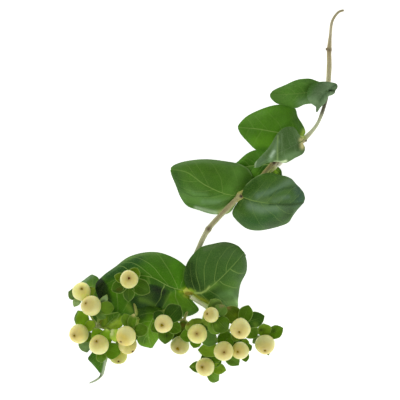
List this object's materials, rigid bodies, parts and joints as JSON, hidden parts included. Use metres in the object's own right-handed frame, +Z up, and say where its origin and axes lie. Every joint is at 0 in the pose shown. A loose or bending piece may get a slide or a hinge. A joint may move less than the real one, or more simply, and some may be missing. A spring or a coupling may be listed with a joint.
{
  "type": "tutsan branch",
  "caption": "Cut shrub branch lying flat, with a curved woody stem, opposite stalkless leaves and a branched head of cream berries in leafy calyxes.",
  "frame": {"origin": "middle of the branch's footprint, on the surface it lies on", "axes": "+Y towards the stem's cut end, +X to the right seen from above, +Z up from the surface"},
  "size_m": [0.1651, 0.2246, 0.0353],
  "materials": {
    "stem": "thin bark, tan to olive, finely ridged, matt, with dark scars at the nodes",
    "stalk": "green flower stalk, pale, slightly waxy",
    "leaf": "soft green leaf with pale veins and a grey-green underside, low sheen",
    "sepal": "yellow-green sepal with a paler edge, low sheen",
    "berry": "cream skin with a soft gloss and a small dry brown tip"
  },
  "bodies": {
    "root": {"main_stem": "stem", "cyme_stalk_left": "stalk", "cyme_stalk_middle": "stalk", "cyme_stalk_right": "stalk", "berry_01": "berry", "berry_02": "berry", "berry_03": "berry", "berry_04": "berry", "berry_05": "berry", "berry_06": "berry", "berry_07": "berry", "berry_08": "berry", "berry_09": "berry", "berry_10": "berry", "berry_11": "berry", "berry_12": "berry", "berry_13": "berry", "berry_14": "berry", "berry_15": "berry", "berry_16": "berry", "berry_17": "berry", "leaf_1_left": "leaf", "leaf_1_right": "leaf", "leaf_2_left": "leaf", "leaf_2_right": "leaf", "leaf_3_left": "leaf", "leaf_3_right": "leaf", "leaf_4_left": "leaf", "leaf_4_right": "leaf", "leaf_5_left": "leaf", "leaf_5_right": "leaf", "bract_leaf_middle": "leaf", "bract_leaf_fork": "leaf", "bract_leaf_upper": "leaf", "bract_leaf_lower": "leaf", "calyx_01": "sepal", "calyx_02": "sepal", "calyx_03": "sepal", "calyx_04": "sepal", "calyx_05": "sepal", "calyx_06": "sepal", "calyx_07": "sepal", "calyx_08": "sepal", "calyx_09": "sepal", "calyx_10": "sepal", "calyx_11": "sepal", "calyx_12": "sepal", "calyx_13": "sepal", "calyx_14": "sepal", "calyx_15": "sepal", "calyx_16": "sepal", "calyx_17": "sepal"}
  },
  "joints": []
}
